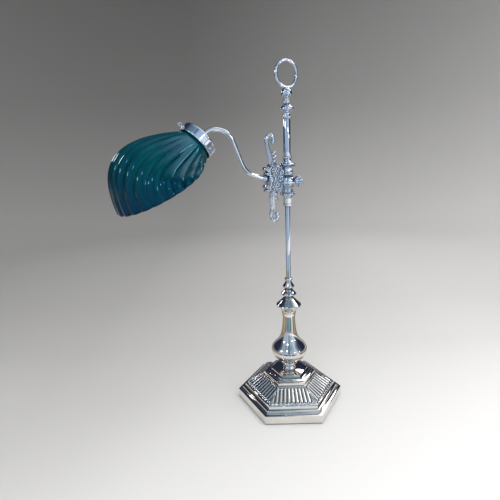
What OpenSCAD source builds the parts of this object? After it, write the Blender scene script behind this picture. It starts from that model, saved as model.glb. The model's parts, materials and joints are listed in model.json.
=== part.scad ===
// Adjustable desk lamp: hexagonal base, turned stem, and a head that slides and swivels on a rod,
// with a swan-neck arm and a ribbed glass shell shade.
// Z is up and z = 0 is the surface the lamp stands on. The rod stands on the Z axis, the arm
// points along -X and the clamp screw along +X.

/* [Base] */
// Width of the hexagonal base across its corners
base_across = 200; // [185:1:240]
// Height of the plain slab, with the felt under it
slab_h = 16.5; // [14:0.5:22]
// Height of the top of the base
base_h = 60; // [56:1:72]
// Corner radius of the ledge round the reeded band
ledge_r = 88; // [84:1:90]
// Corner radius at the foot of the reeded band
band_low_r = 84.5; // [78:0.5:86]
// Corner radius at the top of the reeded band
band_top_r = 51; // [46:1:58]
// Corner radius of the small top tier
top_tier_r = 34; // [28:1:38]
// Thickness of the casting's walls, measured at the corners
base_wall = 5; // [4:0.5:6]
// Thickness of the felt pad
pad_t = 1.5; // [1:0.5:2.5]
// Thickness of the bottom plate
plate_t = 2; // [1.5:0.5:3]
// Corner radius of the iron weight
weight_r = 74; // [60:1:76]

/* [Stem] */
// Height of the small foot collar
foot_h = 21; // [18:0.5:26]
// Height of the vase
vase_h = 99.5; // [85:0.5:120]
// Largest radius of the vase
vase_r = 33.4; // [28:0.2:40]
// Radius of the vase's neck
vase_neck_r = 11.4; // [9:0.2:14]
// Height of the wide disc knop
disc_h = 26; // [22:0.5:32]
// Largest radius of the disc knop
disc_r = 23.1; // [18:0.1:28]
// Height of the middle bead
middle_bead_h = 14.5; // [12:0.5:18]
// Largest radius of the middle bead
middle_bead_r = 14.5; // [12:0.5:18]
// Height of the upper bead
upper_bead_h = 14.5; // [12:0.5:18]
// Largest radius of the upper bead
upper_bead_r = 11; // [9:0.5:14]
// Height of the disc that the rod stands in
socket_h = 6.5; // [6:0.5:9]
// Radius of the threaded tie rod inside the stem
tie_r = 3; // [2.5:0.1:3.2]

/* [Rod and head] */
// Radius of the rod
rod_r = 4.5; // [4:0.1:5]
// Height of the clamp screw's axis as the lamp is set
head_z = 413; // [380:1:420]
// Length of rod above the clamp screw's axis
rod_above = 27; // [22:1:30]
// Wall of the split bush that slides on the rod
bush_wall = 1.25; // [1:0.05:1.4]
// Wall of the upper tube
tube_wall = 1; // [0.8:0.1:1.2]
// Length of the upper tube
tube_len = 81.5; // [75:0.5:100]
// Outer diameter of the carrying ring
ring_d = 45; // [38:1:52]
// Thickness of the carrying ring's wire
ring_wire_d = 4.8; // [4:0.2:5.6]
// Radius of the clamp screw's shank
clamp_r = 2.4; // [2:0.1:2.8]
// Radius of the clamp screw's knob
knob_r = 10.5; // [9:0.5:12]
// Length of the clamp screw's knob
knob_len = 17; // [15:0.5:22]

/* [Arm] */
// Radius of the arm's tube
arm_r = 3.5; // [3:0.1:4]
// Bore radius of the arm's tube
arm_bore_r = 2.5; // [2:0.1:2.8]
// Slope of the arm where it leaves the head, in degrees
arm_rise = 17; // [12:1:20]
// Length of the first straight
arm_run = 47.7; // [40:0.1:55]
// Radius of the first bend
bend_one_r = 34; // [28:1:45]
// Slope of the arm between its bends, in degrees
arm_steep = 68; // [60:1:72]
// Length of the straight between the bends
arm_climb = 34.7; // [26:0.1:40]
// Radius of the second bend
bend_two_r = 31; // [24:1:36]
// Downward slope of the shade's axis, in degrees
droop = 42; // [36:1:48]
// Length of the last straight, outside the gallery
arm_tip = 5; // [4:0.5:12]

/* [Gallery and shade] */
// Gap between the gallery's band and the glass neck
gallery_gap = 2.1; // [1.7:0.1:6]
// Thickness of the gallery's metal
gallery_t = 1.2; // [1:0.1:1.6]
// Depth of the gallery from its back to its rim
gallery_depth = 15; // [13:0.5:17]
// Outer radius of the glass neck
neck_r = 25.5; // [24:0.1:26]
// Thickness of the glass
glass_t = 3; // [2.5:0.1:3.4]
// Half the length of the shade's open rim
rim_half_len = 68; // [60:1:76]
// Half the width of the shade's open rim
rim_half_w = 80; // [68:1:88]
// Number of columns in the shell of the shade
shell_columns = 60; // [36:12:72]
// Number of rows in the shell of the shade
shell_rows = 16; // [10:2:20]

/* [Lamp holder] */
// Wall of the lamp holder's barrel, measured from the bulb's cap
holder_wall = 3.5; // [3.2:0.1:4.5]
// Length of the lamp holder's barrel
barrel_len = 26; // [25:0.5:30]
// Radius of the bulb's cap
cap_r = 11; // [10.9:0.05:11.1]
// Largest radius of the bulb's glass
bulb_r = 14; // [12:0.5:15]
// Length of the bulb beyond the holder
bulb_len = 40; // [34:1:42]

/* [Clearances] */
// Radial clearance of a running or sliding fit
run_gap = 0.05; // [0.03:0.01:0.08]
// Radial clearance of a hole over a fixed rod
fit_gap = 0.1; // [0.05:0.05:0.2]
// Gap between a soft or loose piece and its seat
seat_gap = 0.3; // [0.2:0.05:0.4]

/* [Hidden] */
$fn = 96;

chrome = [0.80, 0.82, 0.86];
nickel = [0.80, 0.77, 0.70];
steel = [0.62, 0.63, 0.65];
iron = [0.22, 0.22, 0.23];
felt = [0.10, 0.22, 0.14];
brass = [0.76, 0.62, 0.32];
teal_glass = [0.02, 0.30, 0.32];
clear_glass = [0.90, 0.93, 0.92, 0.5];
bakelite = [0.14, 0.09, 0.07];

over = 1;                                  // how far a cutting tool runs past the face it cuts
slab_r = base_across / 2;
ledge_z = slab_h + 5.5;
band_low_z = slab_h + 12.5;
band_top_z = base_h - 15.5;
cap_z = base_h - 7.5;
cap_r_low = band_top_r - 2.6;
cavity_r = slab_r - 6;
cavity_top_z = cap_z;
plate_z = pad_t;
weight_z = plate_z + plate_t;
weight_top_z = band_low_z - 9;
nut_pocket_r = 12;
washer_t = 1.6;
nut_t = 5;
nut_pocket_z = weight_z + 8.5;
tie_bore_r = tie_r + fit_gap;

foot_z = base_h;
vase_z = foot_z + foot_h;
disc_z = vase_z + vase_h;
middle_bead_z = disc_z + disc_h;
upper_bead_z = middle_bead_z + middle_bead_h;
socket_z = upper_bead_z + upper_bead_h;
stem_top_z = socket_z + socket_h;
socket_depth = 4;
rod_z = stem_top_z - socket_depth;
rod_tip_z = head_z + rod_above;
tie_tip = 14;                              // length of tie rod screwed into the rod

bush_bore_r = rod_r + run_gap;
bush_r = bush_bore_r + bush_wall;
sleeve_bore_r = bush_r + run_gap;
tube_r = rod_r + 0.4 + tube_wall;
tube_bore_r = tube_r - tube_wall;
sleeve_low = -36;                          // bottom of the sleeve, from the clamp axis
sleeve_top = 44;
bush_flange_t = 3.2;
bush_top = 21;
tube_low = bush_top + seat_gap;
tube_top = tube_low + tube_len;
sleeve_neck_r = bush_r + 1;
boss_r = bush_r + 7.9;
web_half = arm_r + 1;
web_out = 37;
plate_out = web_out + 4;
screw_back = bush_r + 2.6;
cord_bore_r = 2.5;
cord_x = boss_r + 4.3;                     // how far the cord's hole lies from the rod's axis
cord_bush_len = 7;
grub_r = 1.5;
grub_at = 9;                               // how far along the arm its grub screw stands
knob_x = boss_r + 0.5;

collar_h = 6.5;
knop_h = 26.5;
knop_z = tube_top + collar_h;
ball_r = 8.9;
ball_neck_r = 5.7;
ball_z = knop_z + knop_h + sqrt(ball_r * ball_r - ball_neck_r * ball_neck_r) + 0.3;
stud_r = 2.5;
spigot_len = 8;
ring_r = (ring_d - ring_wire_d) / 2;
ring_z = ball_z + ball_r - 2.4 + ring_r + ring_wire_d / 2;

// The arm's centre line, as [distance from the rod, height above the clamp axis]
function run_on(p, slope, len) = p + len * [cos(slope), sin(slope)];
function left_bend_centre(p, slope, r) = p + r * [-sin(slope), cos(slope)];
function right_bend_centre(p, slope, r) = p + r * [sin(slope), -cos(slope)];
arm_root = [20, 1.5];
bend_one_start = run_on(arm_root, arm_rise, arm_run);
bend_one_centre = left_bend_centre(bend_one_start, arm_rise, bend_one_r);
bend_one_end = bend_one_centre + bend_one_r * [sin(arm_steep), -cos(arm_steep)];
bend_two_start = run_on(bend_one_end, arm_steep, arm_climb);
bend_two_centre = right_bend_centre(bend_two_start, arm_steep, bend_two_r);
bend_two_end = bend_two_centre + bend_two_r * [sin(droop), cos(droop)];
gallery_back = run_on(bend_two_end, -droop, arm_tip);
fitter = run_on(gallery_back, -droop, gallery_depth);
gallery_r = neck_r + gallery_gap;
arm_inside = gallery_t + 7;                // length of arm inside the gallery
arm_sides = 16;
// Points along the arm, each with the slope there: turn is 1 for a bend to the left and -1 to the right
function bend_stations(centre, r, from, to, turn, n) =
    [for (i = [0:n]) let (s = from + (to - from) * i / n) [centre + turn * r * [sin(s), -cos(s)], s]];
arm_stations = concat([[arm_root, arm_rise]],
    bend_stations(bend_one_centre, bend_one_r, arm_rise, arm_steep, 1, 9),
    bend_stations(bend_two_centre, bend_two_r, arm_steep, -droop, -1, 16),
    [[run_on(gallery_back, -droop, arm_inside), -droop]]);

// Along the fitter's axis, z = 0 is the gallery's rim and +z runs into the shade
back_z = -gallery_depth;
seat_z = back_z + 5;
nut_z = back_z + gallery_t;
gallery_nut_t = 4;
holder_z = nut_z + gallery_nut_t;
holder_floor = 3.5;
holder_r = cap_r + holder_wall;
holder_mouth = holder_z + barrel_len + holder_floor;
barrel_bore_r = cap_r + 0.3;
insulator_z = holder_z + holder_floor;
insulator_t = 5;
cap_z0 = insulator_z + insulator_t + 5.6;
cap_top = holder_mouth + 2;
pin_z = cap_z0 + 9;
bulb_neck_r = cap_r - 0.8;
bulb_wall = 0.8;
bulb_push = 2.5;
plunger_r = 1.5;
plunger_off = 4.5;
screw_angles = [0, 120, 240];
thumb_shank_r = 1.5;
thumb_head_r = 4;
thumb_z = -4;                              // where the gallery's screws stand along its axis

// The rim is an oval in a plane that leans from the fitter's axis
rim_along = 85;
rim_off = -8;
rim_lean = 15;

// ---- outlines of turned pieces: lists of [radius, height] ----
function bead(r0, r1, z0, z1, n = 8) =
    [for (i = [0:n]) [r0 + (r1 - r0) * sin(180 * i / n), (z0 + z1) / 2 - (z1 - z0) / 2 * cos(180 * i / n)]];
function blend(r0, z0, r1, z1, n = 8) =
    [for (i = [0:n]) [r0 + (r1 - r0) * (1 - cos(180 * i / n)) / 2, z0 + (z1 - z0) * i / n]];
// A bead with a sharp rim low down and a sloping shoulder above it, as shares of its flare and height
bell_shape = [[0, 0.03], [0.3, 0.13], [0.75, 0.24], [1, 0.36], [0.95, 0.45], [0.55, 0.65], [0.25, 0.82],
    [0.1, 0.93]];
function bell(r0, r1, z0, z1) = [for (p = bell_shape) [r0 + (r1 - r0) * p[0], z0 + (z1 - z0) * p[1]]];
// A trumpet that falls from r0 at its foot to r1 at its neck, half of the way in about the first quarter
function flare_share(t) = 1 / (1 + pow(t / 0.268, 2.5));
function trumpet(r0, z0, r1, z1, n = 14) = [for (i = [0:n]) let (t = pow(i / n, 1.4))
    [r1 + (r0 - r1) * (flare_share(t) - flare_share(1) * t), z0 + (z1 - z0) * t]];
function bowl(r0, z0, r1, z1, n = 8) =
    [for (i = [0:n]) [r0 + (r1 - r0) * sin(90 * i / n), z1 - (z1 - z0) * cos(90 * i / n)]];

// Turns an outline that runs from z0 to z1 round a bore of radius r
module turned(outline, r, z0, z1) {
    rotate_extrude() polygon(concat([[r, z0]], outline, [[r, z1]]));
}
module tube(r, bore, z0, z1) {
    difference() {
        translate([0, 0, z0]) cylinder(r = r, h = z1 - z0);
        translate([0, 0, z0 - over]) cylinder(r = bore, h = z1 - z0 + 2 * over);
    }
}
module rod(r, z0, z1) {
    translate([0, 0, z0]) cylinder(r = r, h = z1 - z0);
}
module hex_rod(r, z0, z1) {
    rotate([0, 0, 30]) translate([0, 0, z0]) cylinder(r = r, h = z1 - z0, $fn = 6);
}

// ---- base ----
module base_casting() {
    outer = [[slab_r, pad_t], [slab_r, slab_h - 1], [slab_r - 1, slab_h], [ledge_r + 5, slab_h],
        [ledge_r + 1, slab_h + 2.5], [ledge_r, ledge_z - 1], [ledge_r - 1, ledge_z], [band_low_r + 1, ledge_z],
        [band_low_r + 1, band_low_z - 2], [band_low_r, band_low_z], [band_top_r, band_top_z],
        [band_top_r, band_top_z + 2], [cap_r_low, band_top_z + 3], [cap_r_low, cap_z - 1], [cap_r_low - 1, cap_z],
        [top_tier_r + 9, cap_z + 1], [top_tier_r + 4, base_h - 3.5], [top_tier_r, base_h - 3.5],
        [top_tier_r, base_h - 0.5], [top_tier_r - 0.5, base_h], [0, base_h]];
    inner = [[0, cavity_top_z], [cap_r_low - base_wall, cavity_top_z], [cap_r_low - base_wall, band_top_z - 1],
        [ledge_r - 2 * base_wall, ledge_z], [ledge_r + 1, slab_h - 4], [cavity_r, slab_h - 4], [cavity_r, pad_t]];
    color(nickel) difference() {
        rotate([0, 0, 30]) rotate_extrude($fn = 6) polygon(concat(outer, inner));
        rod(tie_bore_r, cavity_top_z - over, base_h + over);
    }
}
module base_weight() {
    color(iron) difference() {
        union() {
            hex_rod(weight_r, weight_z, weight_top_z);
            rod(20, weight_top_z - over, cavity_top_z);
        }
        rod(nut_pocket_r, weight_z - over, nut_pocket_z);
        rod(tie_bore_r, weight_z, cavity_top_z + over);
        plate_screw_places() rod(2.1, weight_z - over, weight_z + 8);
    }
}
module plate_screw_places() {
    for (a = [90, 210, 330]) rotate([0, 0, a]) translate([weight_r * 0.7, 0, 0]) children();
}
module base_plate() {
    color(steel) difference() {
        hex_rod(cavity_r - 0.5, plate_z, weight_z);
        plate_screw_places() rod(2.1, plate_z - over, weight_z + over);
    }
}
module plate_screws() {
    color(steel) plate_screw_places() rod(2, plate_z, weight_z + 7);
}
module base_pad() {
    color(felt) hex_rod(slab_r - 1.5, 0, pad_t);
}
module tie_rod() {
    color(steel) rod(tie_r, nut_pocket_z - washer_t - nut_t - 0.5, rod_z + tie_tip);
}
module tie_washer() {
    color(steel) tube(9, tie_bore_r, nut_pocket_z - washer_t, nut_pocket_z);
}
module tie_nut() {
    color(steel) difference() {
        hex_rod(5.8, nut_pocket_z - washer_t - nut_t, nut_pocket_z - washer_t);
        rod(tie_r + run_gap, 0, nut_pocket_z);
    }
}

// ---- stem ----
module foot_collar() {
    outline = concat([[13, foot_z], [13, foot_z + 1.5]], blend(12, foot_z + 2, 9.8, foot_z + 7, 4),
        bead(11, 14.8, foot_z + 10, foot_z + 16), [[10.5, foot_z + 18], [11.5, vase_z]]);
    color(nickel) turned(outline, tie_bore_r, foot_z, vase_z);
}
module stem_vase() {
    belly_z = vase_z + 19.3;
    outline = concat(bowl(11.5, vase_z, vase_r, belly_z),
        trumpet(vase_r, belly_z + 1.5, vase_neck_r, disc_z - 15),
        blend(vase_neck_r, disc_z - 14, 13.5, disc_z - 1, 5), [[13.5, disc_z]]);
    color(nickel) turned(outline, tie_bore_r, vase_z, disc_z);
}
module disc_knop() {
    rim_z = disc_z + 10.3;
    outline = [[13.5, disc_z], [14.5, disc_z + 1], [16.5, disc_z + 4], [disc_r - 2.5, disc_z + 7],
        [disc_r - 0.5, rim_z - 1.1], [disc_r, rim_z], [disc_r - 0.4, rim_z + 0.7], [disc_r - 1.8, rim_z + 2.1],
        [11.6, middle_bead_z - 4.2], [8.6, middle_bead_z - 1.8], [7.2, middle_bead_z - 0.6], [6.5, middle_bead_z]];
    color(nickel) turned(outline, tie_bore_r, disc_z, middle_bead_z);
}
module middle_bead() {
    outline = concat([[6.5, middle_bead_z]], bell(7, middle_bead_r, middle_bead_z, upper_bead_z),
        [[6, upper_bead_z]]);
    color(nickel) turned(outline, tie_bore_r, middle_bead_z, upper_bead_z);
}
module upper_bead() {
    outline = concat([[6, upper_bead_z]], bell(5.6, upper_bead_r, upper_bead_z, socket_z), [[5.4, socket_z]]);
    color(nickel) turned(outline, tie_bore_r, upper_bead_z, socket_z);
}
module rod_socket() {
    outline = concat([[rod_r + 0.9, socket_z], [rod_r + 0.9, socket_z + 1.5]],
        bead(rod_r + 1.7, rod_r + 2.9, socket_z + 2, stem_top_z, 6));
    color(nickel) difference() {
        turned(outline, tie_bore_r, socket_z, stem_top_z);
        rod(rod_r + fit_gap, rod_z, stem_top_z + over);
    }
}
module lower_rod() {
    color(nickel) difference() {
        rod(rod_r, rod_z, rod_tip_z);
        rod(tie_r + run_gap, rod_z - over, rod_z + tie_tip + 1);
    }
}

// ---- the head: heights are from the clamp screw's axis ----
module head() {
    translate([0, 0, head_z]) children();
}
// Pieces on the arm's side, drawn with +X outwards along the arm
module arm_side() {
    mirror([1, 0, 0]) head() children();
}
module along_arm(distance) {
    place = run_on(arm_root, arm_rise, distance);
    arm_side() translate([place[0], 0, place[1]]) rotate([0, 90 - arm_rise, 0]) children();
}
// Pieces on the fitter's axis, with +Z into the shade and +X towards the shade's crown
module fitter_side() {
    arm_side() translate([fitter[0], 0, fitter[1]]) rotate([0, 90 + droop, 0]) rotate([0, 0, 180]) children();
}
// Pieces on the clamp screw's axis, with +Z outwards
module clamp_side() {
    head() rotate([0, 90, 0]) children();
}

module slide_bush() {
    color(brass) head() difference() {
        union() {
            rod(bush_r, sleeve_low - bush_flange_t, bush_top);
            rod(bush_r + 2, sleeve_low - seat_gap - bush_flange_t, sleeve_low - seat_gap);
        }
        rod(bush_bore_r, sleeve_low - bush_flange_t - over, bush_top + over);
    }
}
module bracket_casting() {
    r = bush_r;
    outline = concat([[r + 1.4, sleeve_low], [r + 1.5, -26.5]], blend(r + 1.5, -26, r + 5.2, -21.5, 4),
        bead(r + 5.7, r + 7.1, -21.3, -18), [[r + 3.7, -17.5], [r + 3.7, -10.5], [r + 4.6, -10], [r + 4.6, -8],
        [r + 3.9, -7.4]], bead(r + 4.5, boss_r, -6.8, 9.2, 10), [[r + 2.8, 10.4], [r + 2.8, 12.4]],
        bead(r + 3.6, r + 5, 12.8, 16.2, 6), [[r + 3.1, 16.8], [r + 3.1, 24.5]],
        blend(r + 3.4, 25, r + 6.7, 28.3, 4), bead(r + 7, r + 8.2, 28.5, 31.8, 6), [[r + 3.7, 32.4]], blend(r + 3.4, 32.8, sleeve_neck_r, 36.5, 4),
        [[sleeve_neck_r, 39]], bead(r + 1.4, r + 2.4, 39.4, sleeve_top, 6));
    color(chrome) difference() {
        union() {
            head() turned(outline, sleeve_bore_r, sleeve_low, sleeve_top);
            arm_side() web();
        }
        head() rod(sleeve_bore_r, sleeve_low - over, bush_top + seat_gap);
        head() rod(tube_r + run_gap, bush_top + seat_gap - 0.01, sleeve_top + over);
        along_arm(0) rod(arm_r + fit_gap, 0, arm_run);
        along_arm(0) rod(arm_bore_r, cord_x - arm_root[0] - arm_bore_r, over);
        clamp_side() rod(clamp_r + run_gap, 0, boss_r + over);
        cord_side() rod(cord_bore_r + 0.5, 0, web_half + over);
        along_arm(grub_at) rotate([0, -90, 0]) rod(grub_r + run_gap, 0, 40);
    }
}
// Pieces on the axis of the cord's hole, on the side of the web
module cord_side() {
    arm_side() translate([cord_x, 0, 0]) rotate([-90, 0, 0]) children();
}
// The flat web that joins the sleeve to the arm and carries the scrolls
module web() {
    rotate([90, 0, 0]) linear_extrude(2 * web_half, center = true)
        polygon([[8.5, -6], [22, -12], [web_out, -12], [web_out, 31], [26, 31], [20, 26], [8.5, 23]]);
}
module escutcheon() {
    color(chrome) difference() {
        arm_side() union() {
            translate([web_out, 0, 0]) rotate([0, 90, 0]) for (c = [[-8, 12], [-17, 8.5], [6, 9]])
                translate([c[0], 0, 0]) rod(c[1], 0, plate_out - web_out);
            for (z = [-5, 24]) translate([plate_out + 0.5, 0, z]) rotate([90, 0, 0])
                translate([0, 0, -8]) cylinder(r = 4.4, h = 16);
        }
        along_arm(0) rod(arm_r + fit_gap, 0, arm_run);
    }
}
module rosettes() {
    color(chrome) arm_side() for (side = [-1, 1], z = [-5, 20])
        translate([29, side * web_half, z]) rotate([-90 * side, 0, 0]) union() {
            cylinder(r = 6, h = 2);
            cylinder(r = 3, h = 4);
        }
}
// A flat crest: a hook with a ball in it, on a tapering stem with a leaf. It is drawn rising from
// [foot_x, 0], and rise is the height of the hook's centre.
module crest(foot_x, hook_x, rise, thick) {
    hook_out = 9.5;
    hook_in = 4.8;
    band = hook_out - hook_in;
    rotate([90, 0, 0]) linear_extrude(thick, center = true) {
        difference() {
            translate([hook_x, rise]) circle(r = hook_out);
            translate([hook_x, rise]) circle(r = hook_in);
            polygon([[hook_x, rise], [hook_x - 20, rise - 9], [hook_x - 20, rise - 24], [hook_x + 5.5, rise - 24],
                [hook_x + hook_in, rise]]);
        }
        polygon([[foot_x - 3.5, 0], [foot_x + 3.5, 0], [foot_x + 4.3, rise * 0.3], [hook_x + 6.6, rise * 0.56],
            [hook_x + 8.6, rise * 0.8], [hook_x + hook_out, rise + 0.3], [hook_x + hook_in, rise + 0.3],
            [hook_x + 3.6, rise * 0.8], [hook_x + 0.6, rise * 0.56], [foot_x - 1.6, rise * 0.3]]);
        polygon([[foot_x + 1, rise * 0.2], [foot_x + 3, rise * 0.45], [foot_x - 8, rise * 0.4],
            [foot_x - 14, rise * 0.36], [foot_x - 8, rise * 0.3]]);
        translate([hook_x - hook_in - 1.6, rise - 4.2]) circle(r = 3.6);
    }
}
module upper_scroll() {
    color(chrome) arm_side() translate([0, 0, 31]) crest(31.5, 33.5, 40, 7);
}
module lower_scroll() {
    color(chrome) arm_side() translate([0, 0, -12]) mirror([0, 0, 1]) crest(30, 30, 44, 7);
}
module cord_bush() {
    color(bakelite) cord_side() difference() {
        union() {
            rod(4.4, web_half, web_half + 1.5);
            rod(3.8, web_half, web_half + cord_bush_len);
        }
        rod(cord_bore_r, web_half - over, web_half + cord_bush_len + over);
    }
}
// The arm's tube: rings of points set square to its centre line, for the outside and for the bore
module arm_tube() {
    function ring(station, r) = [for (k = [0:arm_sides - 1]) let (a = 360 * k / arm_sides)
        [station[0][0] - r * cos(a) * sin(station[1]), r * sin(a), station[0][1] + r * cos(a) * cos(station[1])]];
    function skin(r) = [for (station = arm_stations) each ring(station, r)];
    last = len(arm_stations) - 1;
    bore = len(arm_stations) * arm_sides;
    function at(n, k) = n * arm_sides + k % arm_sides;
    outside = [for (n = [0:last - 1], k = [0:arm_sides - 1]) [at(n, k), at(n, k + 1), at(n + 1, k + 1), at(n + 1, k)]];
    inside = [for (n = [0:last - 1], k = [0:arm_sides - 1])
        [bore + at(n + 1, k), bore + at(n + 1, k + 1), bore + at(n, k + 1), bore + at(n, k)]];
    ends = [for (k = [0:arm_sides - 1]) each [[at(0, k + 1), at(0, k), bore + at(0, k), bore + at(0, k + 1)],
        [at(last, k), at(last, k + 1), bore + at(last, k + 1), bore + at(last, k)]]];
    color(chrome) arm_side()
        polyhedron(concat(skin(arm_r), skin(arm_bore_r)), concat(outside, inside, ends));
}
module arm_ferrule() {
    start = (plate_out - arm_root[0]) / cos(arm_rise) + (arm_r + 1.5) * tan(arm_rise) + fit_gap;
    color(chrome) along_arm(start)
        turned(concat([[arm_r + 1.5, 0]], bead(arm_r + 1.5, arm_r + 2.3, 1, 3.4, 4), [[arm_r + 1.1, 4], [arm_r + 0.9, 7]]),
            arm_r + run_gap, 0, 7);
}
module arm_grub_screw() {
    color(steel) along_arm(grub_at) rotate([0, -90, 0]) rod(grub_r, arm_r + run_gap, arm_r + 5);
}
module clamp_shoe() {
    color(brass) clamp_side() rod(clamp_r - fit_gap, bush_r + fit_gap, screw_back - run_gap);
}
module thumb_screw() {
    tip = knob_x + knob_len;
    outline = concat([[clamp_r, screw_back], [clamp_r, knob_x], [5, knob_x]], blend(5, knob_x + 1, 6, knob_x + 2.5, 3),
        blend(6, knob_x + 2.5, knob_r, knob_x + 8, 6), blend(knob_r, knob_x + 9.5, 4.6, tip - 3, 6),
        bead(3.6, 4.6, tip - 2.8, tip - 0.6, 4), [[2, tip]]);
    color(chrome) clamp_side() turned(outline, 0, screw_back, tip);
}

// ---- upper tube and finial ----
module upper_tube() {
    color(chrome) head() tube(tube_r, tube_bore_r, tube_low, tube_top);
}
module tube_collar() {
    outline = concat([[tube_bore_r - run_gap, tube_top - spigot_len], [tube_bore_r - run_gap, tube_top],
        [tube_r, tube_top]], bead(6.4, 7.8, tube_top + 1, tube_top + 4.5, 6), [[6, knop_z]]);
    color(chrome) head() turned(outline, stud_r + run_gap, tube_top - spigot_len, knop_z);
}
module finial_stud() {
    color(steel) head() rod(stud_r, tube_top - spigot_len + 1, ball_z - 2);
}
module finial_knop() {
    outline = concat([[6, knop_z], [6, knop_z + 3]], blend(6.4, knop_z + 3.5, 8, knop_z + 6, 3),
        bead(8.4, 11.6, knop_z + 6.2, knop_z + 13), blend(8, knop_z + 13.5, 4.3, knop_z + 17, 4),
        bead(4.6, 6.2, knop_z + 17.6, knop_z + 22, 6), [[4.4, knop_z + 23], [ball_neck_r, knop_z + knop_h]]);
    color(chrome) head() turned(outline, stud_r + run_gap, knop_z, knop_z + knop_h);
}
module finial_ball() {
    color(chrome) head() difference() {
        union() {
            translate([0, 0, ball_z]) sphere(r = ball_r);
            rod(ball_neck_r, knop_z + knop_h, ball_z - 5);
        }
        rod(2 * ball_r, ball_z - 2 * ball_r, knop_z + knop_h);
        rod(stud_r + run_gap, knop_z, ball_z - 1.5);
    }
}
module carry_ring() {
    color(chrome) head() difference() {
        translate([0, 0, ring_z]) rotate([90, 0, 0]) rotate_extrude()
            translate([ring_r, 0]) circle(d = ring_wire_d);
        translate([0, 0, ball_z]) sphere(r = ball_r + 0.02);
    }
}

// ---- gallery ----
module gallery() {
    out = gallery_r + gallery_t;
    step_r = neck_r - 1.2;
    outline = [[out - 1, back_z], [out, back_z + 1], [out, -1.6], [out + 0.8, -1.2], [out + 0.8, 0],
        [gallery_r, 0], [gallery_r, seat_z], [step_r, seat_z], [step_r, nut_z]];
    color(chrome) fitter_side() difference() {
        union() {
            turned(outline, arm_r + fit_gap, back_z, nut_z);
            for (a = screw_angles) rotate([0, 0, a]) translate([0, 0, thumb_z]) rotate([0, 90, 0])
                rod(3, gallery_r + 0.5, out + 2);
        }
        for (a = screw_angles) rotate([0, 0, a]) translate([0, 0, thumb_z]) rotate([0, 90, 0])
            rod(thumb_shank_r + run_gap, gallery_r - 3, out + 4);
    }
}
module gallery_nut() {
    color(brass) fitter_side() difference() {
        hex_rod(8, nut_z, holder_z);
        rod(arm_r + run_gap, nut_z - over, holder_z + over);
    }
}
module gallery_screw(k) {
    out = gallery_r + gallery_t;
    color(chrome) fitter_side() rotate([0, 0, screw_angles[k]]) translate([0, 0, thumb_z])
        rotate([0, 90, 0]) difference() {
            union() {
                rod(thumb_shank_r, neck_r + seat_gap, out + 4.5);
                rod(2.6, out + 2.3, out + 3.6);
                translate([0, 0, out + 3.6 + thumb_head_r]) rotate([90, 0, 0])
                    rod(thumb_head_r, -1, 1);
            }
            translate([0, 0, out + 4.2 + thumb_head_r]) rotate([90, 0, 0]) rod(1.9, -2, 2);
        }
}
module gallery_screw_1() { gallery_screw(0); }
module gallery_screw_2() { gallery_screw(1); }
module gallery_screw_3() { gallery_screw(2); }

// ---- lamp holder and bulb ----
module holder_barrel() {
    groove_r = cap_r + 2.2;
    color(brass) fitter_side() difference() {
        rod(holder_r, holder_z, holder_mouth);
        rod(barrel_bore_r, insulator_z, holder_mouth + over);
        rod(arm_r + fit_gap, holder_z - over, insulator_z + over);
        rod(groove_r, pin_z - bulb_push - 1.3, pin_z + 1.3);
        rotate([0, 0, 20]) translate([-groove_r, -1.4, pin_z]) cube([2 * groove_r, 2.8, 20]);
    }
}
module holder_ring() {
    ring_edge_r = min(holder_r + 4, neck_r - glass_t - 1);
    color(bakelite) fitter_side()
        turned([[ring_edge_r, 0], [ring_edge_r, 4], [ring_edge_r - 1, 5]], holder_r + fit_gap, 0, 5);
}
module holder_insulator() {
    color(bakelite) fitter_side() difference() {
        rod(barrel_bore_r - fit_gap, insulator_z, insulator_z + insulator_t);
        for (side = [-1, 1]) translate([0, side * plunger_off, 0])
            rod(plunger_r + run_gap, insulator_z - over, insulator_z + insulator_t + over);
        rod(1.2, insulator_z - over, insulator_z + insulator_t + over);
    }
}
module contact_plungers() {
    color(brass) fitter_side() for (side = [-1, 1]) translate([0, side * plunger_off, 0])
        rod(plunger_r, insulator_z + bulb_push + 0.2, cap_z0);
}
module bulb_cap() {
    color(brass) fitter_side() difference() {
        union() {
            rod(cap_r, cap_z0, cap_top);
            for (side = [-1, 1]) translate([0, 0, pin_z]) rotate([0, 90 * side, 0]) rod(1, 9, cap_r + 1.8);
        }
        rod(cap_r - 0.6, cap_z0 + 2.5, cap_top + over);
    }
}
function bulb_outline(inset) = concat([[bulb_neck_r - inset, cap_top - 5]],
    blend(bulb_neck_r - inset, cap_top + 1, bulb_r - inset, cap_top + bulb_len * 0.45, 6),
    [for (a = [20:20:80]) [(bulb_r - inset) * cos(a), cap_top + bulb_len - bulb_r - inset + bulb_r * sin(a)]],
    [[0, cap_top + bulb_len - inset]]);
module bulb_glass() {
    inside = bulb_outline(bulb_wall);
    reversed = [for (i = [len(inside) - 1:-1:0]) inside[i]];
    color(clear_glass) fitter_side() rotate_extrude() polygon(concat(bulb_outline(0), reversed));
}
module bulb_filament() {
    wire_r = 0.5;
    loop_r = 5;
    stem_top = cap_top + 12;
    loop_z = stem_top + 10;
    color(clear_glass) fitter_side() union() {
        rod(3, cap_z0 + 2.5, stem_top);
        for (side = [-1, 1]) hull() {
            translate([0, side * 1.8, stem_top - 1]) sphere(r = wire_r, $fn = 12);
            translate([0, side * loop_r, loop_z]) sphere(r = wire_r, $fn = 12);
        }
        translate([0, 0, loop_z]) rotate([0, 0, 90]) rotate([90, 0, 0]) rotate_extrude(angle = 180)
            translate([loop_r, 0]) circle(r = wire_r);
    }
}

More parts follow.
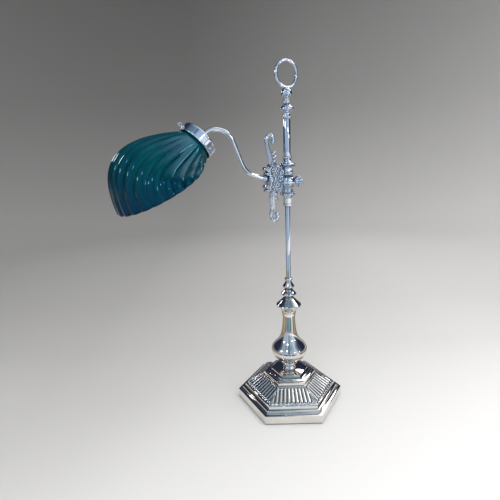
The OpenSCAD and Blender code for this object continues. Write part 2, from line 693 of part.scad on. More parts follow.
// ---- glass shade: each rib runs in a Bezier curve from the neck to the rim ----
function unit(v) = v / norm(v);
function smooth(x) = x * x * (3 - 2 * x);
function bezier(p, u) = pow(1 - u, 3) * p[0] + 3 * pow(1 - u, 2) * u * p[1] + 3 * (1 - u) * u * u * p[2]
    + pow(u, 3) * p[3];
rim_axis = [sin(rim_lean), 0, cos(rim_lean)];
rim_down = [-cos(rim_lean), 0, sin(rim_lean)];
// The four control points of the rib that leaves the neck at angle a, for a shell set in by inset
function rib(a, inset) = let (
        crown = (1 + cos(a)) / 2,
        out = [cos(a), sin(a), 0],
        flare = 32 + 8 * cos(a),
        start = (neck_r - inset) * out,
        start_way = cos(flare) * [0, 0, 1] + sin(flare) * out,
        rim_out = cos(a) * rim_axis + sin(a) * [0, 1, 0],
        end = [rim_off, 0, rim_along] + (rim_half_len - inset) * cos(a) * rim_axis
            + (rim_half_w - inset) * sin(a) * [0, 1, 0],
        lean_in = 2 + 7 * cos(a),
        side_way = cos(lean_in) * rim_down + sin(lean_in) * rim_out,
        back_way = cos(12) * [0, 0, 1] + sin(12) * out,
        k = smooth(min(1, crown * 2)),
        end_way = unit(k * side_way + (1 - k) * back_way),
        start_len = 8 + (93 - inset) * crown,
        end_len = 7 + (65 - inset) * pow(crown, 1.3))
    [start, start + start_len * start_way, end - end_len * end_way, end];
module glass_shade() {
    neck_len = -seat_z - seat_gap;
    rings = shell_rows + 2;
    function ring_point(ring, a, inset) = ring == 0
        ? [(neck_r - inset) * cos(a), (neck_r - inset) * sin(a), -neck_len]
        : bezier(rib(a, inset), (ring - 1) / shell_rows);
    function skin(inset) = [for (ring = [0:rings - 1], c = [0:shell_columns - 1])
        ring_point(ring, 360 * c / shell_columns, inset)];
    count = rings * shell_columns;
    function at(ring, c, base) = base + ring * shell_columns + c % shell_columns;
    outside = [for (ring = [0:rings - 2], c = [0:shell_columns - 1])
        [at(ring, c, 0), at(ring + 1, c, 0), at(ring + 1, c + 1, 0), at(ring, c + 1, 0)]];
    inside = [for (ring = [0:rings - 2], c = [0:shell_columns - 1])
        [at(ring, c + 1, count), at(ring + 1, c + 1, count), at(ring + 1, c, count), at(ring, c, count)]];
    neck_edge = [for (c = [0:shell_columns - 1])
        [at(0, c + 1, 0), at(0, c + 1, count), at(0, c, count), at(0, c, 0)]];
    rim_edge = [for (c = [0:shell_columns - 1])
        [at(rings - 1, c, 0), at(rings - 1, c, count), at(rings - 1, c + 1, count), at(rings - 1, c + 1, 0)]];
    color(teal_glass) fitter_side()
        polyhedron(concat(skin(0), skin(glass_t)), concat(outside, inside, neck_edge, rim_edge));
}

base_casting();
base_weight();
base_plate();
base_pad();
plate_screws();
tie_rod();
tie_washer();
tie_nut();
foot_collar();
stem_vase();
disc_knop();
middle_bead();
upper_bead();
rod_socket();
lower_rod();
slide_bush();
bracket_casting();
escutcheon();
rosettes();
upper_scroll();
lower_scroll();
cord_bush();
arm_tube();
arm_ferrule();
arm_grub_screw();
clamp_shoe();
thumb_screw();
upper_tube();
tube_collar();
finial_stud();
finial_knop();
finial_ball();
carry_ring();
gallery();
gallery_nut();
gallery_screw_1();
gallery_screw_2();
gallery_screw_3();
holder_barrel();
holder_ring();
holder_insulator();
contact_plungers();
bulb_cap();
bulb_glass();
bulb_filament();
glass_shade();
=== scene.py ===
import json
import math
import bpy
from mathutils import Matrix, Vector, noise


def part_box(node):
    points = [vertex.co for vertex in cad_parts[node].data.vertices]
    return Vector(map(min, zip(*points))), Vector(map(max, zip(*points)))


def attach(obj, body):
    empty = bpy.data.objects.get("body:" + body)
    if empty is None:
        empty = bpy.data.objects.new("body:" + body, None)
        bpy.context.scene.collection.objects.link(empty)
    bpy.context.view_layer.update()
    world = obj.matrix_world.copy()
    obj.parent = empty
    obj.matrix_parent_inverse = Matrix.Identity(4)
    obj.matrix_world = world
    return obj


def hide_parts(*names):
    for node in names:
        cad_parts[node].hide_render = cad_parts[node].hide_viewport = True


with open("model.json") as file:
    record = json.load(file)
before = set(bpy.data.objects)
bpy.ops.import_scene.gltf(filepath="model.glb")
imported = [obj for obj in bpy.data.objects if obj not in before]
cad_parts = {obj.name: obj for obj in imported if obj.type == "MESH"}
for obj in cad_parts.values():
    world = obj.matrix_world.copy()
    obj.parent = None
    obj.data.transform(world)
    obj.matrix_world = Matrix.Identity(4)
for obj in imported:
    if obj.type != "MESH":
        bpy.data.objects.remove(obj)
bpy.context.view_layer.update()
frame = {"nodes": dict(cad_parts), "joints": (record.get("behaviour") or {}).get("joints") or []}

MM = 0.001
TAU = 2 * math.pi
JOINTS = {j["name"]: j for j in frame["joints"]}
SCENE = bpy.context.scene


# ---------------------------------------------------------------- camera
def set_camera():
    azimuth, elevation, roll = (math.radians(a) for a in (-28.823, 14.069, -2.07))
    target = Vector((-0.0590, 0.0341, 0.2960))
    distance = 0.68
    back = Vector((math.sin(azimuth) * math.cos(elevation), -math.cos(azimuth) * math.cos(elevation), math.sin(elevation)))
    right = Vector((math.cos(azimuth), math.sin(azimuth), 0))
    up = back.cross(right)
    r = right * math.cos(roll) + up * math.sin(roll)
    u = up * math.cos(roll) - right * math.sin(roll)
    cam = bpy.data.cameras.new("camera")
    cam.lens = 27.36
    cam.sensor_width = 36
    cam.clip_start = 0.01
    cam.clip_end = 30
    obj = bpy.data.objects.new("camera", cam)
    SCENE.collection.objects.link(obj)
    obj.matrix_world = Matrix((r, u, back)).transposed().to_4x4()
    obj.location = target + back * distance
    SCENE.camera = obj


set_camera()


# ---------------------------------------------------------------- materials
def node(tree, kind, inputs=None, **props):
    n = tree.nodes.new(kind)
    for k, v in props.items():
        setattr(n, k, v)
    for k, v in (inputs or {}).items():
        n.inputs[k].default_value = v
    return n


def ramp(tree, source, stops):
    n = tree.nodes.new("ShaderNodeValToRGB")
    while len(n.color_ramp.elements) < len(stops):
        n.color_ramp.elements.new(0.5)
    for e, (at, colour) in zip(n.color_ramp.elements, stops):
        e.position = at
        e.color = tuple(colour) + (1,) if len(colour) == 3 else colour
    tree.links.new(source, n.inputs[0])
    return n.outputs["Color"]


def span(tree, source, low, high, a=0.0, b=1.0):
    n = node(tree, "ShaderNodeMapRange", {"From Min": a, "From Max": b, "To Min": low, "To Max": high})
    tree.links.new(source, n.inputs["Value"])
    return n.outputs["Result"]


def mix(tree, factor, a, b, kind="MIX"):
    n = node(tree, "ShaderNodeMix", data_type="RGBA", blend_type=kind)
    for value, socket in ((factor, n.inputs["Factor"]), (a, n.inputs["A"]), (b, n.inputs["B"])):
        if isinstance(value, bpy.types.NodeSocket):
            tree.links.new(value, socket)
        elif isinstance(value, tuple):
            socket.default_value = value + (1,)
        else:
            socket.default_value = value
    return n.outputs["Result"]


class Surface:
    def __init__(self, name):
        self.mat = bpy.data.materials.new(name)
        self.mat.use_nodes = True
        self.tree = self.mat.node_tree
        self.shader = self.tree.nodes["Principled BSDF"]
        self.where = node(self.tree, "ShaderNodeTexCoord").outputs["Object"]

    def put(self, **sockets):
        for k, v in sockets.items():
            socket = self.shader.inputs[k.replace("_", " ")]
            if isinstance(v, bpy.types.NodeSocket):
                self.tree.links.new(v, socket)
            else:
                socket.default_value = v

    def noise(self, scale, detail=3.0, stretch=None, rough=0.5):
        n = node(self.tree, "ShaderNodeTexNoise", {"Scale": scale, "Detail": detail, "Roughness": rough})
        source = self.where
        if stretch:
            m = node(self.tree, "ShaderNodeMapping", {"Scale": stretch})
            self.tree.links.new(source, m.inputs["Vector"])
            source = m.outputs["Vector"]
        self.tree.links.new(source, n.inputs["Vector"])
        return n.outputs["Fac"]

    def bump(self, height, strength, distance, under=None):
        n = node(self.tree, "ShaderNodeBump", {"Strength": strength, "Distance": distance})
        self.tree.links.new(height, n.inputs["Height"])
        if under:
            self.tree.links.new(under, n.inputs["Normal"])
        return n.outputs["Normal"]

    # ambient occlusion of recesses, used below to paint shade into the plate's hollows
    def recess_shade(self, distance):
        n = node(self.tree, "ShaderNodeAmbientOcclusion", {"Distance": distance}, samples=4, only_local=False)
        return n.outputs["AO"]


def plated(name, light, dark, tarnish_and_shade, rough=(0.03, 0.09), wave=0.10):
    s = Surface(name)
    cloud = s.noise(14, 4)
    tone = ramp(s.tree, cloud, [(0.35, dark), (0.62, light)])
    # partly real tarnish and partly painted shade: where ambient occlusion finds a recess, the plate's colour turns to
    # a dark tarnish tone
    crevice_shade = s.recess_shade(0.004)
    tone = mix(s.tree, span(s.tree, crevice_shade, 1.0, 0.0, 0.25, 0.85), tone, tarnish_and_shade)
    fine = s.noise(900, 2, (1, 1, 0.25))
    haze = s.noise(45, 5)
    roughness = node(s.tree, "ShaderNodeMath", {1: rough[1] - rough[0], 2: rough[0]}, operation="MULTIPLY_ADD")
    s.tree.links.new(ramp(s.tree, haze, [(0.35, (0, 0, 0)), (0.75, (1, 1, 1))]), roughness.inputs[0])
    swell = s.bump(s.noise(60, 2), wave, 0.0006)
    s.put(Base_Color=tone, Metallic=1.0, Roughness=roughness.outputs[0], Normal=s.bump(fine, 0.04, 0.00005, swell))
    return s.mat


def metal(name, light, dark, rough, grain=(1, 1, 1), strength=0.15):
    s = Surface(name)
    tone = ramp(s.tree, s.noise(60, 5), [(0.3, dark), (0.7, light)])
    fine = s.noise(700, 3, grain)
    s.put(Base_Color=tone, Metallic=1.0, Roughness=span(s.tree, s.noise(120, 4), rough[0], rough[1]),
          Normal=s.bump(fine, strength, 0.0002))
    return s.mat


def plain(name, light, dark, rough, scale=80, strength=0.1, distance=0.0003, metallic=0.0):
    s = Surface(name)
    tone = ramp(s.tree, s.noise(scale, 5), [(0.3, dark), (0.7, light)])
    s.put(Base_Color=tone, Metallic=metallic, Roughness=span(s.tree, s.noise(scale * 2, 3), rough[0], rough[1]),
          Normal=s.bump(s.noise(scale * 6, 4), strength, distance))
    return s.mat


def cased_glass(name, low, high, navy_shade, rough):
    s = Surface(name)
    geo = node(s.tree, "ShaderNodeSeparateXYZ")
    s.tree.links.new(s.where, geo.inputs[0])
    # painted light and shade: the glass colour grows lighter towards the top of the shade, as if lit from above, and
    # darker navy low down as painted shade
    body = ramp(s.tree, span(s.tree, geo.outputs["Z"], 0, 1, 0.385, 0.50), [(0.0, navy_shade), (0.5, low), (0.85, high)])
    # random darker streaks in the glass, stretched along its height
    streak = s.noise(22, 4, (1, 1, 0.3))
    body = mix(s.tree, span(s.tree, streak, 0.0, 0.55, 0.42, 0.7), body, tuple(c * 0.55 for c in navy_shade))
    s.put(Base_Color=body, Roughness=span(s.tree, s.noise(50, 4), rough[0], rough[1]), IOR=1.62, Specular_Tint=(0.12, 0.62, 1.0, 1),
          Normal=s.bump(s.noise(130, 3), 0.20, 0.0009))
    return s.mat


MAT = {
    "head": plated("bright_plate", (0.80, 0.84, 0.92), (0.66, 0.71, 0.82), (0.10, 0.12, 0.17)),
    "base": plated("warm_plate", (0.86, 0.83, 0.78), (0.74, 0.71, 0.68), (0.13, 0.12, 0.12)),
    "steel": metal("turned_steel", (0.60, 0.61, 0.62), (0.42, 0.43, 0.44), (0.22, 0.4), (1, 1, 0.2)),
    "iron": plain("cast_iron", (0.10, 0.10, 0.105), (0.045, 0.045, 0.05), (0.55, 0.8), 120, 0.5, 0.0008, 0.6),
    "felt": plain("green_baize", (0.03, 0.10, 0.06), (0.012, 0.05, 0.03), (0.9, 1.0), 260, 0.6, 0.0006),
    "brass": metal("turned_brass", (0.78, 0.60, 0.28), (0.52, 0.38, 0.15), (0.18, 0.34), (1, 1, 0.2)),
    "brown": plain("brown_moulding", (0.050, 0.028, 0.018), (0.022, 0.012, 0.008), (0.22, 0.4), 90),
    "teal": cased_glass("teal_glass", (0.0, 0.036, 0.042), (0.0, 0.050, 0.066), (0.0, 0.010, 0.036), (0.03, 0.09)),
    "opal": plain("opal_lining", (0.86, 0.87, 0.83), (0.78, 0.80, 0.76), (0.14, 0.26), 30, 0.06),
    "wire": metal("dark_wire", (0.36, 0.34, 0.32), (0.22, 0.21, 0.20), (0.35, 0.5)),
}


def clear_bulb():
    s = Surface("clear_bulb")
    s.put(Base_Color=ramp(s.tree, s.noise(40, 3), [(0.3, (0.93, 0.95, 0.94)), (0.7, (1, 1, 1))]), IOR=1.45,
          Roughness=span(s.tree, s.noise(70, 3), 0.01, 0.05), Transmission_Weight=0.96,
          Normal=s.bump(s.noise(60, 2), 0.05, 0.0004))
    return s.mat


MAT["bulb"] = clear_bulb()


# ---------------------------------------------------------------- mesh helpers
class Shape:
    """Vertices in millimetres, and faces with a material number."""

    def __init__(self):
        self.verts, self.faces, self.kinds = [], [], []

    def add(self, verts, faces, place=None, kind=0):
        first = len(self.verts)
        self.verts += [tuple(place @ Vector(v)) if place else tuple(v) for v in verts]
        flip = place is not None and place.to_3x3().determinant() < 0
        self.faces += [tuple(first + i for i in (reversed(f) if flip else f)) for f in faces]
        self.kinds += [kind] * len(faces)
        return self

    def grid(self, rows, close=True, caps=True, place=None, kind=0, ring=False):
        """Rows of points with the same count; close joins each row's ends, ring joins the last row to the first."""
        m, n = len(rows), len(rows[0])
        verts = [p for row in rows for p in row]
        faces = []
        for j in range(m if ring else m - 1):
            k = (j + 1) % m
            for i in range(n if close else n - 1):
                q = (i + 1) % n
                faces.append((j * n + i, j * n + q, k * n + q, k * n + i))
        if caps and close and not ring:
            faces += [tuple(reversed(range(n))), tuple((m - 1) * n + i for i in range(n))]
        return self.add(verts, faces, place, kind)


def build(name, shape, materials, body, replaced=(), sharp=32, bevel=0, soften=0):
    mesh = bpy.data.meshes.new(name)
    mesh.from_pydata([Vector(v) * MM for v in shape.verts], [], shape.faces)
    for key in materials if isinstance(materials, tuple) else (materials,):
        mesh.materials.append(MAT[key])
    mesh.polygons.foreach_set("material_index", shape.kinds)
    mesh.validate()
    mesh.shade_smooth()
    obj = bpy.data.objects.new(name, mesh)
    SCENE.collection.objects.link(obj)
    if bevel:
        m = obj.modifiers.new("edges", "BEVEL")
        m.width = bevel * MM
        m.segments = 2
        m.limit_method = "ANGLE"
        m.angle_limit = math.radians(25)
        m.harden_normals = True
    if soften:
        m = obj.modifiers.new("soft", "SUBSURF")
        m.levels = m.render_levels = soften
    mesh.set_sharp_from_angle(angle=math.radians(sharp))
    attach(obj, body)
    if replaced:
        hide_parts(*replaced)
    return obj


def bead(r0, r1, z0, z1, n=16):
    return [(r0 + (r1 - r0) * math.sin(math.pi * i / n), (z0 + z1) / 2 - (z1 - z0) / 2 * math.cos(math.pi * i / n)) for i in range(n + 1)]


def blend(r0, z0, r1, z1, n=16):
    return [(r0 + (r1 - r0) * (1 - math.cos(math.pi * i / n)) / 2, z0 + (z1 - z0) * i / n) for i in range(n + 1)]


def bowl(r0, z0, r1, z1, n=16):
    return [(r0 + (r1 - r0) * math.sin(math.pi / 2 * i / n), z1 - (z1 - z0) * math.cos(math.pi / 2 * i / n)) for i in range(n + 1)]


def trumpet(r0, z0, r1, z1, n=32):
    """A flare that falls from r0 at its foot to r1 at its neck, half of the way in about the first quarter."""
    def share(t):
        return 1 / (1 + (t / 0.268) ** 2.5)
    steps = [(i / n) ** 1.4 for i in range(n + 1)]
    return [(r1 + (r0 - r1) * (share(t) - share(1) * t), z0 + (z1 - z0) * t) for t in steps]


def bell(r0, r1, z0, z1):
    """A bead with a sharp rim low down and a sloping shoulder above it."""
    shape = [(0, 0.0), (0.06, 0.05), (0.3, 0.13), (0.75, 0.24), (0.94, 0.31), (1, 0.36), (0.99, 0.41), (0.93, 0.47),
             (0.55, 0.65), (0.25, 0.82), (0.1, 0.93), (0, 1)]
    return [(r0 + (r1 - r0) * r, z0 + (z1 - z0) * z) for r, z in shape]


def line(*points):
    return list(points)


def turn(outline, sides=96, bore=None, wobble=None):
    """Rows of a surface of revolution. With a bore it is a closed ring of rows, else its ends are capped."""
    outline = list(outline)
    if bore is not None:
        outline = outline + [(bore, outline[-1][1]), (bore, outline[0][1])]
    clean = [p for i, p in enumerate(outline) if i == 0 or math.dist(p, outline[i - 1]) > 1e-4]
    rows = []
    for r, z in clean:
        r = max(r, 0.01)
        rows.append([((r + (wobble(r, z, TAU * i / sides) if wobble else 0)) * math.cos(TAU * i / sides),
                      (r + (wobble(r, z, TAU * i / sides) if wobble else 0)) * math.sin(TAU * i / sides), z) for i in range(sides)])
    return rows


def lathe(shape, outline, place=None, sides=96, bore=None, wobble=None, kind=0):
    return shape.grid(turn(outline, sides, bore, wobble), place=place, kind=kind, ring=bore is not None)


def fit(outline, lo, hi):
    """Scales an outline so that its height and radius are those of a CAD node's box, all in millimetres."""
    zs = [z for _, z in outline]
    k = hi[0] / MM / max(r for r, _ in outline)
    low, high = lo[2] / MM, hi[2] / MM
    return [(r * k, low + (z - min(zs)) / (max(zs) - min(zs)) * (high - low)) for r, z in outline]


def turned_node(name, outline, key, body, bore=None, sides=96):
    lo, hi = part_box(name)
    return build("turned_" + name, lathe(Shape(), fit(outline, lo, hi), bore=bore, sides=sides), key, body, (name,))


def shift(x, y, z):
    return Matrix.Translation((x, y, z))


def spin(angle, axis):
    return Matrix.Rotation(math.radians(angle), 4, axis)


def tube(points, radii, sides=20, flat=1.0, side=Vector((0, 1, 0))):
    """Rows of a tube along points. flat scales it along side, and radii may be a number or a list."""
    rows = []
    pts = [Vector(p) for p in points]
    for i, p in enumerate(pts):
        ahead = pts[min(i + 1, len(pts) - 1)] - pts[max(i - 1, 0)]
        t = ahead.normalized()
        b = (side - side.dot(t) * t).normalized()
        n = b.cross(t)
        r = radii[i] if isinstance(radii, (list, tuple)) else radii
        w = flat[i] if isinstance(flat, (list, tuple)) else flat
        rows.append([tuple(p + n * r * math.cos(TAU * k / sides) + b * r * w * math.sin(TAU * k / sides)) for k in range(sides)])
    return rows


def smooth_path(points, per=8):
    """A Catmull-Rom curve through points."""
    pts = [Vector(p) for p in points]
    pts = [pts[0] * 2 - pts[1]] + pts + [pts[-1] * 2 - pts[-2]]
    out = []
    for i in range(1, len(pts) - 2):
        a, b, c, d = pts[i - 1:i + 3]
        for k in range(per):
            t = k / per
            out.append(0.5 * ((2 * b) + (c - a) * t + (2 * a - 5 * b + 4 * c - d) * t * t + (3 * b - a - 3 * c + d) * t ** 3))
    return out + [pts[-2]]


def ball(shape, centre, r, place=None, sides=20, kind=0, squash=(1, 1, 1)):
    rows = []
    steps = sides // 2
    for j in range(steps + 1):
        v = math.pi * j / steps
        rr, z = max(math.sin(v), 1e-3) * r, -math.cos(v) * r
        rows.append([(centre[0] + rr * math.cos(TAU * i / sides) * squash[0], centre[1] + rr * math.sin(TAU * i / sides) * squash[1],
                      centre[2] + z * squash[2]) for i in range(sides)])
    return shape.grid(rows, place=place, kind=kind)


# ---------------------------------------------------------------- base
def hexagon(r):
    return [(r * math.cos(math.radians(30 + 60 * k)), r * math.sin(math.radians(30 + 60 * k))) for k in range(6)]


def make_base():
    lo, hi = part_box("base_casting")
    full = hi[1] / MM
    low, top = lo[2] / MM, hi[2] / MM
    slab = low + 15.0
    profile = line((full, low + 0.4), (full, slab - 0.8), (full - 0.25, slab - 0.25), (full - 0.8, slab)) + \
        line((95.4, slab + 0.05)) + blend(94.6, slab + 0.1, 91.6, slab + 3.1, 8) + line((91.4, slab + 3.4)) + \
        [(88.2 + 3.2 * math.cos(math.radians(a)), slab + 3.4 + 2.0 * math.sin(math.radians(a))) for a in range(10, 91, 10)] + \
        line((86.7, slab + 5.4), (86.6, slab + 5.5), (86.4, slab + 7.0), (86.4, slab + 10.3), (85.9, slab + 11.2), (84.5, slab + 12.0))
    foot, crest = (84.5, slab + 12.0), (51.0, top - 15.5)
    upper = line((51.0, top - 15.5), (50.8, top - 14.2), (50.2, top - 13.4), (48.6, top - 13.0), (48.2, top - 12.6), (48.2, top - 8.6),
                 (47.9, top - 7.9), (47.2, top - 7.6), (44.2, top - 7.2)) + blend(43.6, top - 7.1, 39.4, top - 4.2, 8) + \
        line((38.6, top - 4.1), (34.4, top - 4.0), (34.2, top - 3.6), (34.2, top - 0.6), (34.0, top - 0.2), (33.5, top), (0.5, top))
    s = Shape()
    rows = [[(x, y, z) for x, y in hexagon(r)] for r, z in profile]
    rows = [[(x, y, low) for x, y in hexagon(full - 0.6)]] + rows
    s.grid(rows, caps=True)
    s.faces.pop()
    s.kinds.pop()
    s.grid([[(x, y, z) for x, y in hexagon(r)] for r, z in upper], caps=False)
    s.faces.append(tuple(range(len(s.verts) - 6, len(s.verts))))
    s.kinds.append(0)
    # the reeded band: one grid on each side, raised into round-ended reeds square to the base's edge
    across, along, reeds, height = 132, 34, 11, 1.9
    half_low = foot[0] / 2
    pitch = 2 * half_low / (reeds + 0.35)
    slope = math.hypot((foot[0] - crest[0]) * math.cos(math.radians(30)), crest[1] - foot[1])
    for k in range(6):
        rows = []
        for j in range(along + 1):
            t = j / along
            r = foot[0] + (crest[0] - foot[0]) * t
            z = foot[1] + (crest[1] - foot[1]) * t
            row = []
            for i in range(across + 1):
                u = 2 * i / across - 1
                x = u * r / 2
                fan = 1 - 0.16 * t
                cell = x / (pitch * fan)
                off = (cell - round(cell)) * 2.12
                reach = min(t, 1 - t) * slope / (pitch / 2)
                end = max(0.0, 1.15 - reach)
                mitre = max(0.0, 1 - (r / 2 - abs(x)) / 1.6)
                lift = math.sqrt(max(0.0, 1 - off * off - end * end)) * (1 - mitre) * height
                edge = 0 if j in (0, along) else 1
                row.append((r * math.cos(math.radians(30)), x, z + (lift - 0.35) * edge))
            rows.append(row)
        s.grid(rows, close=False, caps=False, place=spin(60 * k, "Z"))
    build("reeded_base", s, "base", "base", ("base_casting",), sharp=38)


make_base()


# ---------------------------------------------------------------- stem
def make_stem():
    slot, key = "plated_base", "base"
    turned_node("foot_collar", line((13, 0), (13.2, 0.4), (13.2, 1.3)) + blend(12, 1.8, 9.8, 7) + line((9.9, 8.4), (10.6, 8.6), (10.8, 9.6))
                + bead(11, 14.8, 10, 16) + line((10.8, 16.4), (10.4, 17.6), (10.6, 19.4), (11.4, 19.9), (11.5, 21)), key, "base", 3.1)
    turned_node("stem_vase", bowl(11.5, 0, 33.4, 19.3, 20) + trumpet(33.4, 20.8, 11.4, 84.5)
                + blend(11.5, 85.5, 13.2, 97, 8) + line((13.5, 97.6), (13.7, 98.4), (13.5, 99.5)), key, "base", 3.1)
    turned_node("disc_knop", line((13.5, 0), (14.4, 0.4), (15.0, 1.4), (16.5, 4.0), (18.6, 6.0), (20.8, 7.4), (22.0, 8.3), (22.8, 9.4), (23.1, 10.3),
                     (22.9, 11.0), (22.3, 11.7), (21.4, 12.5), (16.4, 17.1), (11.8, 21.6), (10.0, 23.2), (8.6, 24.3), (7.4, 25.2), (6.6, 26)), key, "base", 3.1)
    turned_node("middle_bead", bell(7, 14.5, 0, 14.5), key, "base", 3.1)
    turned_node("upper_bead", bell(5.6, 11, 0, 14.5), key, "base", 3.1)
    turned_node("rod_socket", line((5.4, 0), (5.6, 1.2)) + bead(6.2, 7.4, 2, 6.2, 10) + line((5.6, 6.5)), key, "base", 3.1)
    turned_node("lower_rod", line((4.5, 0), (4.5, 201.2), (4.1, 202)), "head", "base", 3.05, 64)


make_stem()

# ---------------------------------------------------------------- head
HEAD_Z = JOINTS["head_swivel"]["pos_m"][2] / MM
HEAD = shift(0, 0, HEAD_Z)
ARM = HEAD @ Matrix.Scale(-1, 4, (1, 0, 0))


def make_sleeve():
    outline = line((7.0, -36), (7.3, -35.6), (7.3, -27)) + blend(7.3, -26.4, 10.8, -21.8, 8) + bead(11.4, 12.9, -21.4, -18, 10) + \
        line((10.6, -17.7), (9.6, -17.2), (9.5, -11), (10.2, -10.3), (10.5, -9.6), (10.5, -8.4), (10.0, -7.7)) + bead(10.3, 13.7, -6.8, 9.2, 24) + \
        line((9.2, 9.8), (8.7, 10.6), (8.7, 12.2)) + bead(9.4, 10.8, 12.8, 16.2, 10) + line((9.0, 16.8), (8.9, 24)) + \
        blend(9.1, 24.8, 12.3, 28.2, 8) + bead(12.8, 14, 28.5, 31.8, 12) + line((10.4, 32.2), (9.4, 32.9)) + \
        blend(9.2, 33.2, 6.9, 36.8, 8) + line((6.8, 39)) + bead(7.2, 8.2, 39.4, 43.6, 10) + line((6.5, 44))
    build("head_sleeve", lathe(Shape(), outline, HEAD, bore=5.85), "head", "head", ("bracket_casting",))
    # beading round the boss's lower edge and the upper flange
    s = Shape()
    for count, radius, z, size in ((30, 11.2, -7.2, 1.15), (26, 9.9, 11.4, 0.95), (34, 13.0, 26.9, 1.0), (28, 11.6, -16.9, 1.0)):
        for i in range(count):
            a = TAU * i / count
            ball(s, (radius * math.cos(a), radius * math.sin(a), z), size, HEAD, 10)
    build("head_beading", s, "head", "head")


def spiral(cx, cz, r0, r1, a0, a1, n=26, y=0.0):
    return [(cx + (r0 + (r1 - r0) * i / n) * math.cos(math.radians(a0 + (a1 - a0) * i / n)), y,
             cz + (r0 + (r1 - r0) * i / n) * math.sin(math.radians(a0 + (a1 - a0) * i / n))) for i in range(n + 1)]


def taper(n, start, middle, end):
    return [start + (middle - start) * min(1, 2 * i / (n - 1)) + (end - middle) * max(0, 2 * i / (n - 1) - 1) for i in range(n)]


def add_scroll(s, points, radii, flat, terminal=None, sides=16):
    s.grid(tube(points, radii, sides, flat), place=ARM)
    if terminal:
        ball(s, terminal[0], terminal[1], ARM, 20, squash=(1, terminal[2], 1))


def make_web():
    s = Shape()
    edge = smooth_path([(8.6, 0, -6), (15, 0, -10.5), (22, 0, -12.2), (30, 0, -12.5), (37, 0, -12), (37.4, 0, -2), (37.4, 0, 12), (37.4, 0, 22),
                        (37, 0, 31), (31, 0, 31.6), (26, 0, 30.6), (21, 0, 26.4), (14, 0, 24.2), (8.6, 0, 22.6)], 3)
    rows = []
    for half, inset in ((-3.7, 0.9), (-4.3, 0.25), (-4.3, 0), (4.3, 0), (4.3, 0.25), (3.7, 0.9)):
        centre = Vector((23, 0, 9))
        rows.append([tuple(p + (centre - p).normalized() * inset + Vector((0, half, 0))) for p in edge])
    s.grid(rows, place=ARM)
    # raised scrollwork on both faces
    for side in (-1, 1):
        y = side * 4.3
        scrolls = ((22.5, 20.5, 8.6, 3.0, 200, -150), (21.5, -3.0, 8.0, 2.8, 150, 480), (33.4, 9.5, 7.6, 2.2, 250, -60),
                   (16.0, 8.5, 6.2, 1.6, 100, -420), (34.0, 24.5, 5.2, 1.4, 60, 520), (34.0, -6.0, 5.0, 1.4, -60, -520), (13.5, 17.5, 4.0, 1.2, -20, 400))
        for cx, cz, r0, r1, a0, a1 in scrolls:
            path = spiral(cx, cz, r0, r1, a0, a1, 36, y)
            s.grid(tube(path, taper(len(path), 0.8, 1.6, 1.0), 10), place=ARM)
            ball(s, (cx, y, cz), r1 * 0.9, ARM, 12)
        for i in range(13):
            a = math.radians(-75 + 150 * i / 12)
            ball(s, (13.5 + 3.5 * math.cos(a), y, 8.5 + 19 * math.sin(a)), 1.25, ARM, 10)
    build("head_web", s, "head", "head", sharp=40)


def petals(s, place, r, count, lift, core):
    for i in range(count):
        a = 360 * i / count
        m = place @ spin(a, "Z")
        ball(s, (r * 0.60, 0, lift * 0.45), r * 0.36, m, 14, squash=(1.15, 0.78, lift / r * 1.3))
    ball(s, (0, 0, lift * 0.55), core, place, 16, squash=(1, 1, 0.9))
    for i in range(count):
        a = TAU * (i + 0.5) / count
        ball(s, (core * 1.15 * math.cos(a), core * 1.15 * math.sin(a), lift * 0.55), core * 0.22, place, 8)


def make_rosettes():
    s = Shape()
    lo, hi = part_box("rosettes")
    for side in (-1, 1):
        for z in (-5, 20):
            place = ARM @ shift(29, side * 4.3, z) @ spin(-90 * side, "X")
            lathe(s, [(6.0, -0.2), (6.4, 0.4), (5.8, 1.1), (3.0, 1.3)], place, 40)
            petals(s, place, 6.6, 6, 4.0, 2.1)
    build("rosette_flowers", s, "head", "head", ("rosettes",), sharp=50)


def make_escutcheon():
    s = Shape()
    # a shaped plate seen square on from the arm, with rolled edges
    outline = []
    for i in range(72):
        a = TAU * i / 72
        z = 6.5 + 20.5 * math.sin(a)
        w = 9.2 + 1.9 * math.cos(2 * a) + 1.3 * math.cos(6 * a)
        outline.append((w * math.cos(a), z))
    rows = []
    for x, k in ((36.8, 0.93), (37.4, 1.0), (39.2, 1.0), (40.2, 0.95), (40.6, 0.82), (40.9, 0.60), (40.9, 0.3)):
        rows.append([(x, y * k, 6.5 + (z - 6.5) * k) for y, z in outline])
    s.grid(rows, place=ARM)
    # volutes across the top and the foot, rolled forward, and smaller curls between them
    for cz, r, turn_way, width in ((24.0, 4.2, 1, 8.0), (-5.0, 4.2, -1, 8.0), (16.4, 2.9, 1, 6.6), (-11.6, 2.9, -1, 6.6)):
        n = 26
        path = spiral(plate_x() + 0.4, cz, r - 0.75, 1.0, -90 * turn_way, -90 * turn_way + turn_way * 540, n)
        for y0 in (-width + 0.9, width - 0.9):
            ring = [(p[0], y0, p[2]) for p in path]
            s.grid(tube(ring, taper(len(ring), 0.85, 0.85, 0.6), 10), place=ARM)
        lathe(s, [(0.4, -width + 0.5), (r - 1.0, -width + 0.7), (r - 0.35, -width + 1.6), (r - 0.9, -width * 0.4), (r - 1.25, 0),
                  (r - 0.9, width * 0.4), (r - 0.35, width - 1.6), (r - 1.0, width - 0.7), (0.4, width - 0.5)],
              ARM @ shift(plate_x() + 0.4, 0, cz) @ spin(-90, "X"), 28)
        ball(s, (plate_x() + 0.4, -width + 0.6, cz), 1.1, ARM, 12)
        ball(s, (plate_x() + 0.4, width - 0.6, cz), 1.1, ARM, 12)
    build("scrolled_escutcheon", s, "head", "head", ("escutcheon",), sharp=45)


def plate_x():
    return -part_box("escutcheon")[0][0] / MM - 4.4


